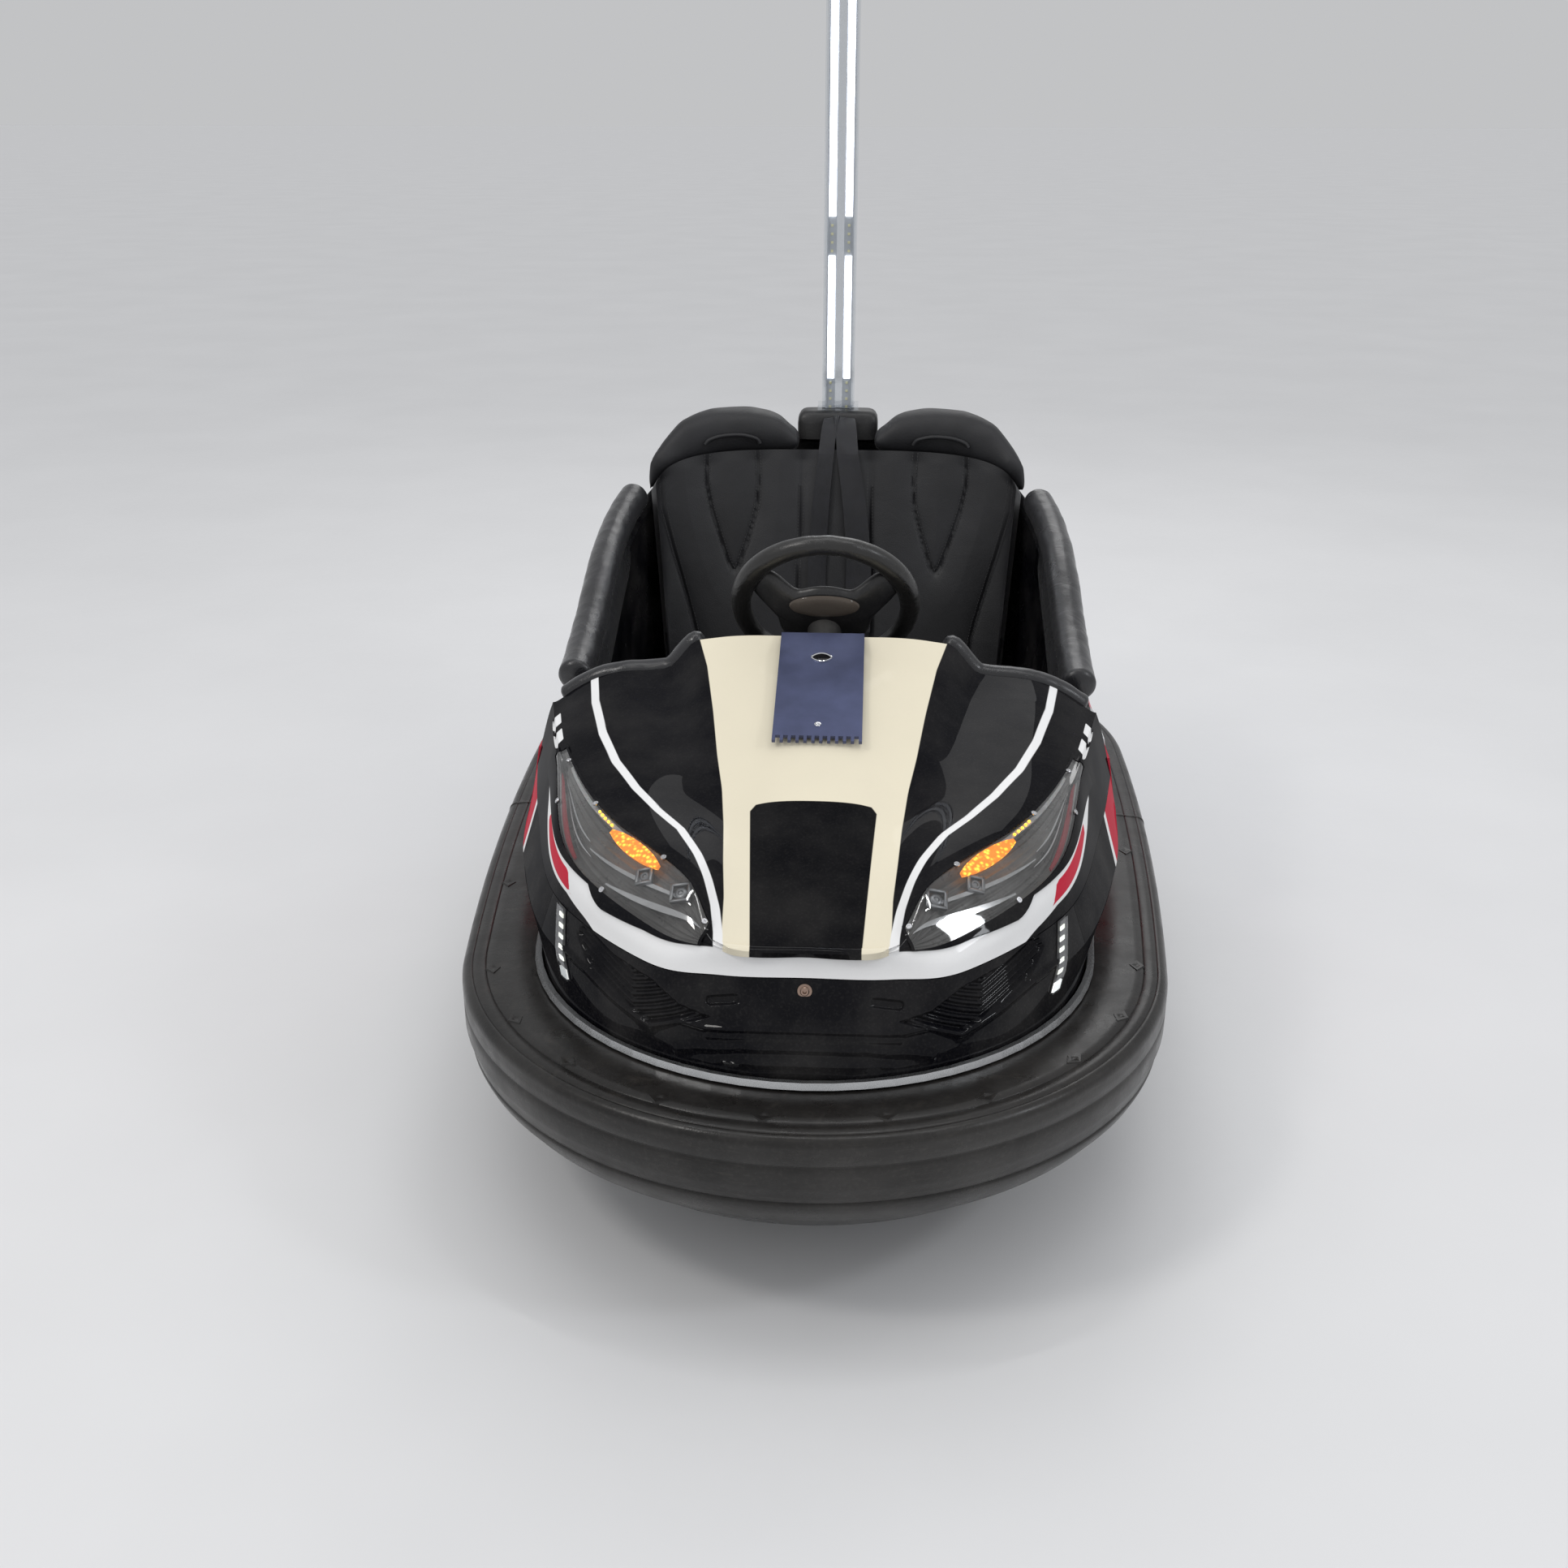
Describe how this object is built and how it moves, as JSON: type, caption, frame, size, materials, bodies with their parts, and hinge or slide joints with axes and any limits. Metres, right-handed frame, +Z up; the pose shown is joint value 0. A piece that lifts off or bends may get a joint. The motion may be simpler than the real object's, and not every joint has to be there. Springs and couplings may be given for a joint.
{
  "type": "two-seat fairground bumper car",
  "caption": "Two-seat bumper car: rubber ring round a steel rim, lofted bonnet, hollow cockpit tub, swivelling drive wheel, lit pole.",
  "frame": {"origin": "ground level under the middle of the bumper ring", "axes": "+X to the right in a view from the front, front of the car towards -Y, +Z up"},
  "size_m": [1.166, 1.96, 2.12],
  "materials": {
    "rubber": "matte",
    "frame_steel": "satin",
    "bright_trim": "satin",
    "shell_cream": "gloss",
    "shell_red": "gloss",
    "nose_black": "gloss",
    "lamp_clear": "gloss",
    "lamp_inside": "gloss",
    "tail_red": "gloss",
    "token_metal": "matte",
    "black_plastic": "matte",
    "vinyl": "satin",
    "webbing": "matte",
    "tread_metal": "satin",
    "pole_clear": "gloss",
    "led_white": "satin",
    "motor_paint": "satin",
    "wheel_tyre": "matte",
    "wheel_metal": "satin"
  },
  "bodies": {
    "chassis": {"chassis_frame": "frame_steel", "bumper_rim": "frame_steel", "bumper_rubber": "rubber", "trim_strip": "bright_trim", "floor_pan": "tread_metal", "front_shell": "shell_cream", "lower_nose": "nose_black", "skirt_left": "shell_red", "skirt_right": "shell_red", "headlamp_unit_left": "lamp_inside", "headlamp_unit_right": "lamp_inside", "headlamp_lens_left": "lamp_clear", "headlamp_lens_right": "lamp_clear", "day_lamp_left": "lamp_clear", "day_lamp_right": "lamp_clear", "coin_panel": "token_metal", "dash_panel": "black_plastic", "steering_column": "black_plastic", "dash_pad_left": "vinyl", "dash_pad_right": "vinyl", "tub": "shell_red", "bench_box": "black_plastic", "seat_cushion": "vinyl", "backrest": "vinyl", "headrest_left": "vinyl", "headrest_right": "vinyl", "side_pad_left": "vinyl", "side_pad_right": "vinyl", "step_plate_left": "tread_metal", "step_plate_right": "tread_metal", "lap_strap": "webbing", "pole_box": "black_plastic", "pole_socket": "black_plastic", "pole_tube": "pole_clear", "pole_lights": "led_white", "pole_cap": "black_plastic", "pedal": "tread_metal", "tail_lamps": "tail_red"},
    "steering_wheel": {"steering_rim": "black_plastic", "steering_hub": "black_plastic", "steering_shaft": "frame_steel"},
    "drive_unit": {"drive_fork": "frame_steel", "drive_motor": "motor_paint"},
    "drive_wheel": {"drive_tyre": "wheel_tyre", "drive_hub": "wheel_metal"},
    "rear_wheel_left": {"rear_tyre_left": "wheel_tyre", "rear_hub_left": "wheel_metal"},
    "rear_wheel_right": {"rear_tyre_right": "wheel_tyre", "rear_hub_right": "wheel_metal"}
  },
  "joints": [
    {"name": "drive_steer", "type": "hinge", "parent": "chassis", "child": "drive_unit", "pos_m": [0, -0.62, 0.3], "axis": [0, 0, 1], "continuous": true},
    {"name": "steering_turn", "type": "hinge", "parent": "chassis", "child": "steering_wheel", "pos_m": [0, -0.015, 0.727], "axis": [0, 0.8526, 0.5225], "continuous": true},
    {"name": "drive_wheel_spin", "type": "hinge", "parent": "drive_unit", "child": "drive_wheel", "pos_m": [0, -0.62, 0.11], "axis": [1, 0, 0], "continuous": true},
    {"name": "rear_wheel_left_spin", "type": "hinge", "parent": "chassis", "child": "rear_wheel_left", "pos_m": [-0.3078, 0.5, 0.1], "axis": [1, 0, 0], "continuous": true},
    {"name": "rear_wheel_right_spin", "type": "hinge", "parent": "chassis", "child": "rear_wheel_right", "pos_m": [0.3078, 0.5, 0.1], "axis": [1, 0, 0], "continuous": true}
  ],
  "couplings": [
    {"joint": "steering_turn", "follows": "drive_steer", "ratio": 2}
  ]
}
